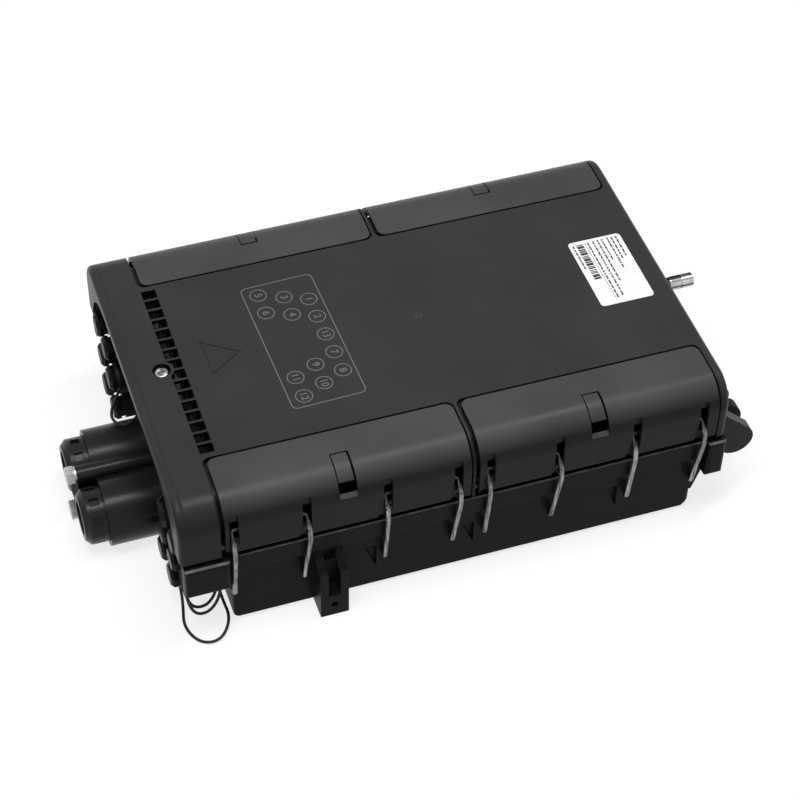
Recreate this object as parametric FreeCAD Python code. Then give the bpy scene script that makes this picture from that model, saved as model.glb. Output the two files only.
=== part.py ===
import FreeCAD, Part
import math
import os

# Fibre distribution hub box: a tub with a hooded cover held by four lever latches with wire bails.
# Millimetres. X runs along the box with the port end at -X, Y across it, Z up.
# The origin is the middle of the latch zone on the tub's underside.

V = FreeCAD.Vector

# Cover
HEIGHT = 127.0                # underside of the tub to the top of the cover
COVER_WIDTH = 267.0           # across the closed latch flaps
LATCH_ZONE = 361.6            # length of the two flap bays and the rib between them
HOOD_LENGTH = 29.0            # porch over the ports, past the latch zone
TAIL_LENGTH = 7.2             # hinge end, past the latch zone
COVER_WALL = 3.0
SHOULDER_R = 22.0             # round shoulder between the top and the sides
HOOD_EDGE_R = 4.0
TAIL_EDGE_R = 4.5
SKIRT_Z = 78.5                # lower edge of the hood and of the tail
MOUTH_CLEARANCE = 2.0         # arched opening in the hood's end wall, past the outermost caps
MOUTH_TOP = 119.0
MOUTH_R = 50.0
BULKHEAD = 9.0                # cover wall above the port wall, between the porch and the sealed room
RIM_LIP = 3.0                 # rim past the recess walls
RIM_THICK = 2.2
RIM_R = 6.0

# Latch flaps
FLAP_TOP = 47.6               # reach of a flap from the cover's side to its seam with the fixed panel
SEAM_GAP = 1.6
PORT_GAP = 3.0                # beside the port end of a flap
HINGE_GAP = 1.1               # beside its hinge end
MID_RIB = 2.0
MID_RIB_X = -1.7
FLAP_WALL = 3.0
FLAP_CORNER_R = 6.0
SHELF_GAP = 1.0               # under the top of a closed flap
BARREL_GAP = 1.5              # between a flap's barrel and the recess wall behind it
RECESS_R = 14.0
PIVOT_INSET = 5.0             # pivot axis inside the cover's side, and the barrel's radius
PIVOT_Z = 83.0
SKIN_DROP = 2.0               # lower edge of the skin under the pivot axis
ROD_D = 4.0
ROD_SEAT = 6.0
RUNNING = 0.05                # radial clearance of the pivots
TONGUE_WIDTH = 11.0
TONGUE_SLITS = (0.6, 1.4)     # beside the tongue, port side and hinge side
TONGUE_GROOVE = 1.0           # width and depth of the groove across its start
TONGUE_TOP_INSET = 25.5       # start of the tongue, in from the cover's side
WINDOW_TOP = 119.2
WINDOW_LOW = 110.0
SILL_DROP = 2.2               # slope of the window's sill

# Wire bails
WIRE_D = 3.6
BAIL_SPAN = 52.6              # between the two legs of a bail
BAIL_END = 9.65               # outer legs inside the ends of a flap bay
BAIL_SHIFT = -0.5             # middle of the two bails from the middle of their flap
BAIL_INSET = 6.5              # crossbar axis inside the cover's side
BAIL_Z = 96.5
ELBOW_Z = 88.3
ELBOW_PROUD = 2.7             # elbow and kink of a leg outside the cover's side
KINK_Z = 78.7
KINK_PROUD = 3.5
LEG_LEANS = (-0.7, -3.5)      # hook of each leg from its kink, along X
HOOK_Z = 36.5
HOOK_REACH = 0.8              # gap between the hook's tip and the tub
HOOK_LEG_GAP = 0.6            # gap between the leg and the flange
BEND_R = 2.8
SLOT_WIDTH = 6.4
SLOT_SHIFT = 1.0              # middle of a slot from its leg, toward the middle of the bail
SLOT_TOP = 115.0
SLOT_LOW = 87.0
LIP_NOTCH = 4.2               # notch in the flap's lower edge beside each leg
LIP_NOTCH_HEIGHT = 2.6
RIB_THICK = 3.0
RIB_OFFSET = 9.0              # rib beside each leg

# Tub
TUB_INSET = 6.5               # tub's sides inside the cover's sides
TUB_WALL = 4.0
TUB_R = 4.0
TUB_CHAMFER = 3.0
PORT_SETBACK = 7.8            # port wall inside the latch zone
HINGE_SETBACK = 9.8           # hinge end of the tub inside the latch zone
HEEL = 9.0                    # bevel under the hinge end
FLANGE_TOP = 75.0
FLANGE_DEPTH = 16.0
FLANGE_INSET = 1.5
FLANGE_R = 6.0
FLANGE_EDGE_R = 1.2
GASKET = 1.0
LAP_GAP = 0.6
BLOCK_PROUD = 3.5             # corner blocks outside the cover's sides
BLOCK_WALL = 9.5
BLOCK_DEPTH = 28.0
BLOCK_LENGTH = 32.0
BLOCK_SETBACK = 2.0           # port end of the blocks inside the hood's end
BLOCK_R = 3.0
TAIL_BLOCK_LENGTH = 13.0
TAIL_BLOCK_DEPTH = 33.0
GUSSET_LOW = 20.0              # foot of the gussets under the tail blocks
CATCH_PROUD = 3.3
CATCH_HEIGHT = 9.7
CATCH_WIDTH = 5.0
CATCH_GAP = 0.5
POCKET_XS = (-74.0, -2.0, 107.0)
POCKET_WIDTH = 9.0
POCKET_TOP = 43.5
POCKET_DROP = 22.5
POCKET_DEPTH = 3.0

# Side lugs
LUG_X = -105.0
LUG_WIDTH = 20.5
LUG_PROUD = 16.5
LUG_STEP = 20.0               # top of the closed front
LUG_TOP = 45.0
LUG_SLOT = 9.0
LUG_BACK = 4.5                # web left behind the slot
LUG_HOLE_D = 5.2
LUG_HOLE_Z = 11.0
LUG_HOLE_DEPTH = 12.0

# Hinge
HINGE_OUT = 16.2              # axis past the cover's end
HINGE_Z = 56.0
KNUCKLE_R = 13.4
KNUCKLE_WIDTH = 9.0
KNUCKLE_PITCH = 21.0
KNUCKLE_FIRST_Y = 55.0
HINGE_ROD_D = 6.0

# Ports, by row from the bottom
PORT_Z = 27.0
PORT_ROW_PITCH = 25.0
PORT_MARGIN = 10.0            # outermost axis inside the sealed room's wall
PORT_PITCH = 25.0
PORT_STAGGER = 6.5
PORT_ROWS = 3
PORT_WALL_MARGIN = 14.0       # port wall above the top row
PORT_WALL_R = 10.0
NOSE_D = 13.0
NOSE_LENGTH = 24.0
PORT_NUT = 16.4               # across flats
PORT_NUT_THICK = 3.0
CAP_FLATS = 18.0
CAP_LENGTH = 30.0
CAP_STANDOFF = 8.0            # open end of a cap off the port wall
CAP_BORE_GAP = 0.3
CAP_BORE_DEPTH = 18.0
CAP_GROOVE = 3.5
CAP_GROOVE_FLATS = 15.2
CAP_KNOB = 5.0                # in front of the groove
CAP_BEVEL = 2.0
RING_THICK = 1.8
RING_WIDTH = 2.4
RING_GAP = 0.3

# Oval cable gland
GLAND_Z = 25.0
LOBE_R = 24.5
LOBE_SHARE = 0.35             # lobe axes on the way from the middle to the lowest inner ports
GLAND_LENGTH = 67.5           # collar, from the port wall
GLAND_WALL = 3.5
GLAND_WEB = 18.0              # height of the collar between its lobes
BOLT_SPACING = 36.0
BOLT_BOSS_R = 6.5
BOLT_D = 8.0
BOLT_FLATS = 13.0
BOLT_HEAD = 5.5
BOLT_GRIP = 30.0
WASHER_D = 13.6
WASHER_THICK = 1.6
PLATE_PROUD = 17.0
PLATE_DEPTH = 5.0             # plate inside the collar
PLATE_GAP = 0.5
PLATE_BEVEL = 4.0
EAR_R = 6.8
EAR_LENGTH = 13.0
PLUG_D = 25.0
PLUG_LENGTH = 12.0
PLUG_RECESS = 2.0
NOTCH_WIDTH = 6.0
NOTCH_DEPTH = 2.8
NOTCH_TURNS = (35.0, 75.0, 115.0)   # degrees round a lobe from its outer side
SEAL_LENGTH = 30.0

# Vents, screw, sticker and marks on the cover
VENT_COUNT = 16
VENT_MARGIN = 3.2             # beside the end slots, in from the seams
VENT_BAR = 1.8
VENT_LENGTH = 10.6
VENT_DEPTH = 16.0
VENT_OFFSET = 0.8             # from the latch zone's port end
SCREW_OFFSET = 4.2            # screw axis ahead of the latch zone
SCREW_D = 5.0
SCREW_Y = 2.0
SCREW_HEAD_D = 10.4
SCREW_HEAD = 3.2
SCREW_SINK = 4.8
CROSS_LENGTH = 5.4            # cross recess of the screw
CROSS_WIDTH = 1.2
CROSS_DEPTH = 1.8
SCREW_BOSS_D = 17.5
SCREW_RECESS_D = 13.0
SCREW_BITE = 10.0             # thread engaged in the tub's lug
SCREW_LUG_WIDTH = 22.0
SCREW_LUG_DEPTH = 15.0
SCREW_HOLE_GAP = 0.3
STICKER_LENGTH = 41.0
STICKER_WIDTH = 69.0
STICKER_R = 3.0
STICKER_X = 151.5
STICKER_Y = 3.0
STICKER_THICK = 0.3
STICKER_SINK = 0.4
MARK_X = -153.5               # triangular mark
MARK_Y = 2.9
MARK_LENGTH = 27.0
MARK_WIDTH = 36.0
MARK_LINE = 2.0
MARK_DEPTH = 0.6
GATE_X = 2.5
GATE_D = 4.0
GATE_DEPTH = 0.5

# Air valve
VALVE_Z = 101.0
VALVE_SHANK_D = 6.0
VALVE_SHANK = 12.0
VALVE_RING_D = 10.0
VALVE_RING = 1.2
VALVE_FLATS = 9.4
VALVE_HEX = 8.0
VALVE_CAP_D = 10.4
VALVE_CAP = 9.5
VALVE_NUT = 4.0
VALVE_NUT_FLATS = 10.0

# Inside the sealed room
TRAY_LENGTH = 170.0
TRAY_WIDTH = 110.0
TRAY_HEIGHT = 9.0
TRAY_WALL = 1.6
TRAY_R = 12.0
TRAY_X = 40.0
TRAY_STEP = 11.0
TRAY_COUNT = 3
POST_D = 10.0
POST_INSET = 7.0              # post axes inside the splitter's sides
POST_HEIGHT = 24.0
SPLITTER_LENGTH = 100.0
SPLITTER_WIDTH = 80.0
SPLITTER_HEIGHT = 12.0
SPLITTER_R = 4.0
CLAMP_X = -120.0
CLAMP_WIDTH = 90.0
CLAMP_LENGTH = 24.0
CLAMP_HEIGHT = 15.0
CLAMP_STRAP = 3.0

# Cap lanyards, by port number: points from the port's neck round to the ring near the cap's tip,
# measured from the port's axis on the port wall
CORD_D = 2.2
CORD_ROUTES = {
    8: [(-5.5, 0.0, -8.9), (-5.2, -2.5, -16.5), (-4.5, -16.0, -21.0), (-3.8, -34.5, -19.5),
        (-14.0, -47.5, -24.4), (-28.5, -45.0, -25.4), (-36.0, -28.0, -25.4), (-32.0, -11.0, -24.8),
        (-30.5, -2.0, -19.0), (-31.2, 0.0, -11.0)],
    10: [(-5.5, 0.0, -9.5), (-5.6, -4.0, -15.0), (-7.5, -12.0, -26.0), (-16.0, -16.0, -39.5),
         (-27.5, -15.5, -39.5), (-31.5, -11.5, -27.0), (-31.6, -4.0, -17.0), (-31.2, 0.0, -11.3)],
    12: [(-5.5, 0.0, -9.5), (-5.5, -4.0, -16.0), (-6.0, -11.0, -28.0), (-8.0, -15.0, -43.0),
         (-11.5, -15.6, -56.0), (-18.0, -15.5, -64.5), (-26.0, -14.8, -65.0), (-30.5, -13.3, -56.0),
         (-32.0, -11.5, -43.0), (-32.3, -9.0, -30.0), (-31.6, -4.0, -18.5), (-31.2, 0.0, -11.3)],
    9: [(-5.5, 8.9, 0.0), (-6.0, 17.5, 0.0), (-11.0, 31.5, -3.0), (-23.0, 38.0, -4.0),
        (-32.5, 31.0, -3.0), (-32.0, 20.0, -0.5), (-31.2, 10.7, 0.0)],
    4: [(-5.5, -8.9, 0.0), (-7.5, -17.0, 0.5), (-15.0, -29.5, -0.5), (-25.0, -41.0, -1.2),
        (-33.0, -48.5, -0.8), (-41.0, -47.0, -1.0), (-44.5, -38.0, -2.0), (-42.0, -28.5, -2.0),
        (-36.0, -19.5, -1.0), (-31.2, -11.3, 0.0)],
}
ARC_SHARE = 0.45              # of a straight run that a bend may take

# Places worked out from the sizes above
COVER_HALF = COVER_WIDTH / 2
LATCH_X0 = -LATCH_ZONE / 2
LATCH_X1 = LATCH_ZONE / 2
HOOD_X = LATCH_X0 - HOOD_LENGTH
TAIL_X = LATCH_X1 + TAIL_LENGTH
SEAM_Y = COVER_HALF - FLAP_TOP
RECESS_HALF = COVER_HALF - 2 * PIVOT_INSET - BARREL_GAP
RIM_HALF = RECESS_HALF + RIM_LIP
SHELF_Z = HEIGHT - FLAP_WALL - SHELF_GAP
RIM_Z = FLANGE_TOP + GASKET
PORT_X = LATCH_X0 + PORT_SETBACK
HINGE_END_X = LATCH_X1 - HINGE_SETBACK
ROOM_X0 = PORT_X + BULKHEAD
ROOM_X1 = TAIL_X - COVER_WALL
ROOM_HALF = RECESS_HALF - COVER_WALL
RIM_X1 = TAIL_X - LAP_GAP
PIVOT_Y = COVER_HALF - PIVOT_INSET
BAIL_Y = COVER_HALF - BAIL_INSET
TUB_HALF = COVER_HALF - TUB_INSET
FLANGE_HALF = COVER_HALF - FLANGE_INSET
FLANGE_LOW = FLANGE_TOP - FLANGE_DEPTH
BLOCK_HALF = COVER_HALF + BLOCK_PROUD
HINGE_X = TAIL_X + HINGE_OUT
HINGE_ROD_END = KNUCKLE_FIRST_Y + 3 * KNUCKLE_PITCH
SCREW_X = LATCH_X0 - SCREW_OFFSET
CAP_X = PORT_X - CAP_STANDOFF
CAP_TIP_X = CAP_X - CAP_LENGTH
GROOVE_X = CAP_TIP_X + CAP_KNOB
COLLAR_X = PORT_X - GLAND_LENGTH
PLATE_X = COLLAR_X - PLATE_PROUD
BOLT_ZS = (GLAND_Z - BOLT_SPACING / 2, GLAND_Z + BOLT_SPACING / 2)
PORT_Y = ROOM_HALF - PORT_MARGIN
INNER_PORT_Y = PORT_Y - (PORT_ROWS - 1) * PORT_STAGGER - PORT_PITCH
LOBE_Y = LOBE_SHARE * INNER_PORT_Y
LOBE_YS = (-LOBE_Y, LOBE_Y)
MOUTH_HALF = PORT_Y + CAP_FLATS / 2 + MOUTH_CLEARANCE
VENT_PITCH = 2 * (SEAM_Y - VENT_MARGIN) / VENT_COUNT
PORT_WALL_TOP = PORT_Z + (PORT_ROWS - 1) * PORT_ROW_PITCH + PORT_WALL_MARGIN
BAIL_PITCH = (LATCH_ZONE - MID_RIB) / 2 - 2 * BAIL_END - BAIL_SPAN
LEG_XS = [BAIL_SHIFT + s * BAIL_PITCH / 2 + e * BAIL_SPAN / 2 for s in (-1, 1) for e in (-1, 1)]
BIG = 600.0                   # longer than any piece


def box(x0, x1, y0, y1, z0, z1):
    return Part.makeBox(x1 - x0, y1 - y0, z1 - z0, V(x0, y0, z0))


def rod_x(x0, x1, y, z, r):
    return Part.makeCylinder(r, x1 - x0, V(x0, y, z), V(1, 0, 0))


def rod_y(y0, y1, x, z, r):
    return Part.makeCylinder(r, y1 - y0, V(x, y0, z), V(0, 1, 0))


def rod_z(z0, z1, x, y, r):
    return Part.makeCylinder(r, z1 - z0, V(x, y, z0))


def fused(shapes):
    """One solid from shapes that overlap or share faces."""
    return shapes[0].multiFuse(shapes[1:]).removeSplitter()


def mirrored(shape):
    """The same shape on the other side of the box."""
    return shape.mirror(V(0, 0, 0), V(0, 1, 0))


def both_sides(shape):
    return [shape, mirrored(shape)]


def slab(x0, x1, y0, y1, z0, z1, r):
    """Plate with its four upright edges rounded."""
    plate = box(x0, x1, y0, y1, z0, z1)
    upright = [e for e in plate.Edges if abs(e.Vertexes[0].Z - e.Vertexes[1].Z) > (z1 - z0) / 2]
    return plate.makeFillet(r, upright)


def polygon_face(points):
    corners = [V(*p) for p in points]
    return Part.Face(Part.makePolygon(corners + corners[:1]))


def prism_x(x0, x1, y, z, flats, sides):
    """Regular prism along X, given across its flats, with flats at the top and the bottom."""
    r = flats / 2 / math.cos(math.pi / sides)
    turns = [2 * math.pi * (i + 0.5) / sides for i in range(sides)]
    ring = [(x0, y + r * math.sin(t), z + r * math.cos(t)) for t in turns]
    return polygon_face(ring).extrude(V(x1 - x0, 0, 0))


def arch(x0, x1, half, top, radius, low):
    """Prism along X under a flat roof with two round shoulders."""
    k = radius * (1 - math.sqrt(0.5))
    a = V(x0, -half, low)
    b = V(x0, -half, top - radius)
    c = V(x0, radius - half, top)
    d = V(x0, half - radius, top)
    e = V(x0, half, top - radius)
    f = V(x0, half, low)
    curves = [
        Part.LineSegment(a, b),
        Part.Arc(b, V(x0, k - half, top - k), c),
        Part.LineSegment(c, d),
        Part.Arc(d, V(x0, half - k, top - k), e),
        Part.LineSegment(e, f),
        Part.LineSegment(f, a),
    ]
    wire = Part.Wire([curve.toShape() for curve in curves])
    return Part.Face(wire).extrude(V(x1 - x0, 0, 0))


def flap_plan(x0, x1, y0, r):
    """Upright prism over a flap bay of the far side, rounded at the two corners of the seam."""
    plan = box(x0, x1, y0, COVER_HALF + COVER_WALL, FLANGE_TOP, HEIGHT + COVER_WALL)
    seam = [e for e in plan.Edges
            if abs(e.Vertexes[0].Z - e.Vertexes[1].Z) > COVER_WALL and abs(e.CenterOfMass.y - y0) < RUNNING]
    return plan.makeFillet(r, seam)


def flap_bays():
    """Ends of the two flap bays along X."""
    return [(LATCH_X0, MID_RIB_X - MID_RIB / 2), (MID_RIB_X + MID_RIB / 2, LATCH_X1)]


def end_edges(shape, x, low):
    """Edges round the end of the shape at x, apart from the one along its lower side."""
    found = []
    for edge in shape.Edges:
        at_end = all(abs(v.X - x) < RUNNING for v in edge.Vertexes)
        if at_end and max(v.Z for v in edge.Vertexes) > low + RUNNING:
            found.append(edge)
    return found


def cover_shell():
    body = arch(HOOD_X, TAIL_X, COVER_HALF, HEIGHT, SHOULDER_R, SKIRT_Z)
    body = body.makeFillet(HOOD_EDGE_R, end_edges(body, HOOD_X, SKIRT_Z))
    body = body.makeFillet(TAIL_EDGE_R, end_edges(body, TAIL_X, SKIRT_Z))
    core = arch(LATCH_X0 - BIG, LATCH_X1 + BIG, RECESS_HALF, SHELF_Z, RECESS_R, FLANGE_TOP - COVER_WALL)
    bays = []
    for x0, x1 in flap_bays():
        bays += both_sides(flap_plan(x0, x1, SEAM_Y, FLAP_CORNER_R).cut(core))
    body = body.cut(bays)
    rim = slab(PORT_X, RIM_X1, -RIM_HALF, RIM_HALF, RIM_Z, RIM_Z + RIM_THICK, RIM_R)
    legs = core.common(box(LATCH_X0, RIM_X1, -BIG, BIG, RIM_Z, SKIRT_Z + COVER_WALL))
    body = fused([body, rim, legs])
    low = FLANGE_TOP - COVER_WALL
    inner_r = RECESS_R - COVER_WALL
    panel_half = SEAM_Y - COVER_WALL
    roof = HEIGHT - COVER_WALL
    porch = [
        arch(HOOD_X + COVER_WALL, LATCH_X0 - COVER_WALL, COVER_HALF - COVER_WALL, roof,
             SHOULDER_R - COVER_WALL, low),
        arch(LATCH_X0 - 2 * COVER_WALL, PORT_X, ROOM_HALF, SHELF_Z - COVER_WALL, inner_r, low),
        box(LATCH_X0 - 2 * COVER_WALL, PORT_X, -panel_half, panel_half, low, roof),
    ]
    room = [
        arch(ROOM_X0, ROOM_X1, ROOM_HALF, SHELF_Z - COVER_WALL, inner_r, low),
        box(ROOM_X0, ROOM_X1, -panel_half, panel_half, low, roof),
    ]
    mouth = arch(HOOD_X - COVER_WALL, HOOD_X + 2 * COVER_WALL, MOUTH_HALF, MOUTH_TOP, MOUTH_R, low)
    over_port_wall = port_wall(GASKET, PORT_X + BULKHEAD)
    for hollow in porch + room + [mouth, over_port_wall]:
        body = body.cut(hollow)
    body = body.cut(vents())
    boss = rod_z(RIM_Z, HEIGHT, SCREW_X, SCREW_Y, SCREW_BOSS_D / 2)
    body = fused([body, boss] + cover_knuckles())
    bores = [
        rod_z(FLANGE_TOP, HEIGHT, SCREW_X, SCREW_Y, SCREW_D / 2 + SCREW_HOLE_GAP),
        rod_z(HEIGHT - SCREW_SINK, HEIGHT + COVER_WALL, SCREW_X, SCREW_Y, SCREW_RECESS_D / 2),
        rod_x(ROOM_X1 - COVER_WALL, TAIL_X + COVER_WALL, 0, VALVE_Z, VALVE_SHANK_D / 2 + RUNNING),
        hinge_bore(),
    ]
    bores += both_sides(rod_x(LATCH_X0 - COVER_WALL, LATCH_X1 + ROD_SEAT, PIVOT_Y, PIVOT_Z,
                              ROD_D / 2 + RUNNING))
    return body.cut(bores + top_marks())


def vents():
    x0 = LATCH_X0 + VENT_OFFSET
    slots = []
    for i in range(VENT_COUNT):
        y = (i - (VENT_COUNT - 1) / 2) * VENT_PITCH
        half = (VENT_PITCH - VENT_BAR) / 2
        slots.append(box(x0, x0 + VENT_LENGTH, y - half, y + half,
                         HEIGHT - VENT_DEPTH, HEIGHT + COVER_WALL))
    return slots


def mark_prism(inset):
    """Triangle of the mark, moved in from its outer sides, up from the floor of its groove."""
    floor = HEIGHT - MARK_DEPTH
    slant = math.hypot(MARK_LENGTH, MARK_WIDTH / 2)
    tip = MARK_X + MARK_LENGTH - inset * slant / (MARK_WIDTH / 2)
    half = (tip - MARK_X - inset) * MARK_WIDTH / (2 * MARK_LENGTH)
    back = MARK_X + inset
    corners = [(back, MARK_Y - half, floor), (tip, MARK_Y, floor), (back, MARK_Y + half, floor)]
    return polygon_face(corners).extrude(V(0, 0, COVER_WALL))


def top_marks():
    """Recesses in the top: the sticker's seat, a plain triangular groove and the moulding gate."""
    seat = slab(STICKER_X - STICKER_LENGTH / 2 - RING_GAP, STICKER_X + STICKER_LENGTH / 2 + RING_GAP,
                STICKER_Y - STICKER_WIDTH / 2 - RING_GAP, STICKER_Y + STICKER_WIDTH / 2 + RING_GAP,
                HEIGHT - STICKER_SINK, HEIGHT + COVER_WALL, STICKER_R)
    triangle = mark_prism(0).cut(mark_prism(MARK_LINE))
    gate = rod_z(HEIGHT - GATE_DEPTH, HEIGHT + COVER_WALL, GATE_X, 0, GATE_D / 2)
    return [seat, triangle, gate]


def tangent_point(outer, centre, radius, side):
    """Where a line from the outer point (x, z) touches the circle, on the side given as 1 or -1."""
    dx = outer[0] - centre[0]
    dz = outer[1] - centre[1]
    turn = math.atan2(dz, dx) + side * math.acos(radius / math.hypot(dx, dz))
    return centre[0] + radius * math.cos(turn), centre[1] + radius * math.sin(turn)


def knuckle(y, root):
    """Rounded hinge plate at y, from its root points (x, z), listed from the top down, to the axis."""
    centre = (HINGE_X, HINGE_Z)
    top = tangent_point(root[0], centre, KNUCKLE_R, -1)
    low = tangent_point(root[-1], centre, KNUCKLE_R, 1)
    y0 = y - KNUCKLE_WIDTH / 2
    points = root[::-1] + [top, centre, low]
    plate = polygon_face([(x, y0, z) for x, z in points]).extrude(V(0, KNUCKLE_WIDTH, 0))
    return fused([plate, rod_y(y0, y0 + KNUCKLE_WIDTH, HINGE_X, HINGE_Z, KNUCKLE_R)])


def hinge_bore():
    """Bore of the hinge rod, blind in the outermost knuckles."""
    end = HINGE_ROD_END + RING_GAP
    return rod_y(-end, end, HINGE_X, HINGE_Z, HINGE_ROD_D / 2 + RUNNING)


def cover_knuckles():
    inner = TAIL_X - COVER_WALL
    clear_of_flange = TAIL_X + COVER_WALL
    root = [(inner, SKIRT_Z + KNUCKLE_R), (inner, SKIRT_Z + LAP_GAP), (clear_of_flange, SKIRT_Z + LAP_GAP)]
    plates = []
    for i in (1, 3):
        plates += both_sides(knuckle(KNUCKLE_FIRST_Y + i * KNUCKLE_PITCH, root))
    return plates


def base_knuckles():
    inner = TAIL_X - COVER_WALL
    root = [(inner, FLANGE_TOP - LAP_GAP), (inner, FLANGE_LOW)]
    plates = []
    for i in (0, 2):
        plates += both_sides(knuckle(KNUCKLE_FIRST_Y + i * KNUCKLE_PITCH, root))
    return plates


def ports():
    """Port number to its place (y, z): odd then even on the far side, the mirror image on the near side."""
    places = {}
    for row in range(PORT_ROWS):
        outer = PORT_Y - (PORT_ROWS - 1 - row) * PORT_STAGGER
        inner = outer - PORT_PITCH
        z = PORT_Z + row * PORT_ROW_PITCH
        places[2 * row + 1] = (outer, z)
        places[2 * row + 2] = (inner, z)
        places[2 * (row + PORT_ROWS) + 1] = (-inner, z)
        places[2 * (row + PORT_ROWS) + 2] = (-outer, z)
    return places


def hook_places():
    """X of every bail hook of one side."""
    leans = 2 * LEG_LEANS
    return [(x0 + x1) / 2 + leg + lean for x0, x1 in flap_bays() for leg, lean in zip(LEG_XS, leans)]


def base_shell():
    tub = slab(PORT_X, HINGE_END_X, -TUB_HALF, TUB_HALF, 0, FLANGE_TOP, TUB_R)
    floor_edges = [e for e in tub.Edges if all(abs(v.Z) < RUNNING for v in e.Vertexes)]
    tub = tub.makeChamfer(TUB_CHAMFER, floor_edges)
    heel = polygon_face([(HINGE_END_X - HEEL, -BIG, 0), (HINGE_END_X, -BIG, HEEL), (HINGE_END_X, -BIG, 0)])
    tub = tub.cut(heel.extrude(V(0, 2 * BIG, 0)))
    flange = slab(PORT_X, TAIL_X, -FLANGE_HALF, FLANGE_HALF, FLANGE_LOW, FLANGE_TOP, FLANGE_R)
    lip = [e for e in flange.Edges if all(v.Z > FLANGE_TOP - RUNNING for v in e.Vertexes)]
    flange = flange.makeFillet(FLANGE_EDGE_R, lip)
    room = slab(PORT_X + TUB_WALL, HINGE_END_X - TUB_WALL, TUB_WALL - TUB_HALF, TUB_HALF - TUB_WALL,
                TUB_WALL, FLANGE_TOP + TUB_WALL, TUB_R)
    shell = fused([tub, flange]).cut(room)
    wall = port_wall(0, PORT_X + TUB_WALL)
    shell = fused([shell, wall, screw_lug()] + corner_blocks() + base_knuckles())
    shell = fused([shell] + side_lugs() + catches() + tray_posts())
    holes = [rod_x(PORT_X - TUB_WALL, PORT_X + 2 * TUB_WALL, y, z, NOSE_D / 2 + RUNNING)
             for y, z in ports().values()]
    holes += [rod_x(PORT_X - TUB_WALL, PORT_X + 2 * TUB_WALL, y, GLAND_Z, LOBE_R - 2 * GLAND_WALL)
              for y in LOBE_YS]
    holes += [rod_z(FLANGE_TOP - SCREW_BITE, FLANGE_TOP + TUB_WALL, SCREW_X, SCREW_Y,
                    SCREW_D / 2 + RUNNING),
              hinge_bore()]
    return shell.cut(holes + wall_pockets())


def port_wall(offset, x1):
    """Rounded port wall above the flange, grown by an offset."""
    half = ROOM_HALF - LAP_GAP + offset
    return arch(PORT_X, x1, half, PORT_WALL_TOP + offset, PORT_WALL_R + offset, FLANGE_LOW)


def screw_lug():
    x0 = SCREW_X - SCREW_LUG_WIDTH / 2
    half = SCREW_LUG_WIDTH / 2
    return box(x0, PORT_X + TUB_WALL, SCREW_Y - half, SCREW_Y + half,
               FLANGE_TOP - SCREW_LUG_DEPTH, FLANGE_TOP)


def soft_block(x0, x1, y0, y1, z0, z1):
    """Block with the edges of its outer face, at y1, rounded."""
    block = box(x0, x1, y0, y1, z0, z1)
    return block.makeFillet(BLOCK_R, [e for e in block.Edges if all(v.Y > y1 - RUNNING for v in e.Vertexes)])


def corner_blocks():
    low = FLANGE_TOP - BLOCK_DEPTH
    x0 = HOOD_X + BLOCK_SETBACK
    inner = BLOCK_HALF - BLOCK_WALL
    wing = soft_block(x0, x0 + BLOCK_LENGTH, inner, BLOCK_HALF, low, FLANGE_TOP)
    arm = box(x0 + BLOCK_R, PORT_X + TUB_R + TUB_WALL, inner, FLANGE_HALF,
              low + BLOCK_R, FLANGE_TOP - BLOCK_R)
    tail = soft_block(TAIL_X - TAIL_BLOCK_LENGTH, TAIL_X + LAP_GAP, TUB_HALF - TUB_WALL, BLOCK_HALF,
                      FLANGE_TOP - TAIL_BLOCK_DEPTH, FLANGE_TOP)
    root = HINGE_END_X - TUB_R
    reach = TAIL_X - TAIL_BLOCK_LENGTH + BLOCK_R
    high = FLANGE_TOP - BLOCK_R
    profile = [(root, high), (reach, high), (reach, FLANGE_TOP - TAIL_BLOCK_DEPTH),
               (HINGE_END_X, GUSSET_LOW), (root, GUSSET_LOW)]
    gusset = polygon_face([(x, TUB_HALF - TUB_WALL, z) for x, z in profile]).extrude(V(0, TUB_WALL, 0))
    blocks = []
    for block in (fused([wing, arm]), fused([tail, gusset])):
        blocks += both_sides(block)
    return blocks


def side_lugs():
    """Lugs for a wall bracket: a closed foot, two ribs with a slot between them and a screw hole."""
    x0 = LUG_X - LUG_WIDTH / 2
    y0 = TUB_HALF - TUB_WALL / 2
    front = TUB_HALF + LUG_PROUD
    lug = box(x0, x0 + LUG_WIDTH, y0, front, 0, LUG_TOP)
    slot = box(LUG_X - LUG_SLOT / 2, LUG_X + LUG_SLOT / 2, TUB_HALF + LUG_BACK, front + TUB_WALL,
               LUG_STEP, LUG_TOP + TUB_WALL)
    hole = rod_y(front - LUG_HOLE_DEPTH, front + TUB_WALL, LUG_X, LUG_HOLE_Z, LUG_HOLE_D / 2)
    gusset_top = [(x0, y0, LUG_TOP), (x0, TUB_HALF + LUG_PROUD / 2, LUG_TOP), (x0, y0, FLANGE_LOW)]
    gusset = polygon_face(gusset_top).extrude(V((LUG_WIDTH - LUG_SLOT) / 2, 0, 0))
    other = gusset.copy()
    other.translate(V((LUG_WIDTH + LUG_SLOT) / 2, 0, 0))
    return both_sides(fused([lug.cut([slot, hole]), gusset, other]))


def catches():
    """Noses on the tub's sides that the bail hooks pull up against."""
    z0 = HOOK_Z + WIRE_D / 2 + CATCH_GAP
    y0 = TUB_HALF - TUB_WALL / 2
    noses = []
    for x in hook_places():
        outline = [(x - CATCH_WIDTH / 2, y0, z0), (x - CATCH_WIDTH / 2, TUB_HALF + CATCH_PROUD, z0),
                   (x - CATCH_WIDTH / 2, TUB_HALF, z0 + CATCH_HEIGHT),
                   (x - CATCH_WIDTH / 2, y0, z0 + CATCH_HEIGHT)]
        noses += both_sides(polygon_face(outline).extrude(V(CATCH_WIDTH, 0, 0)))
    return noses


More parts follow.
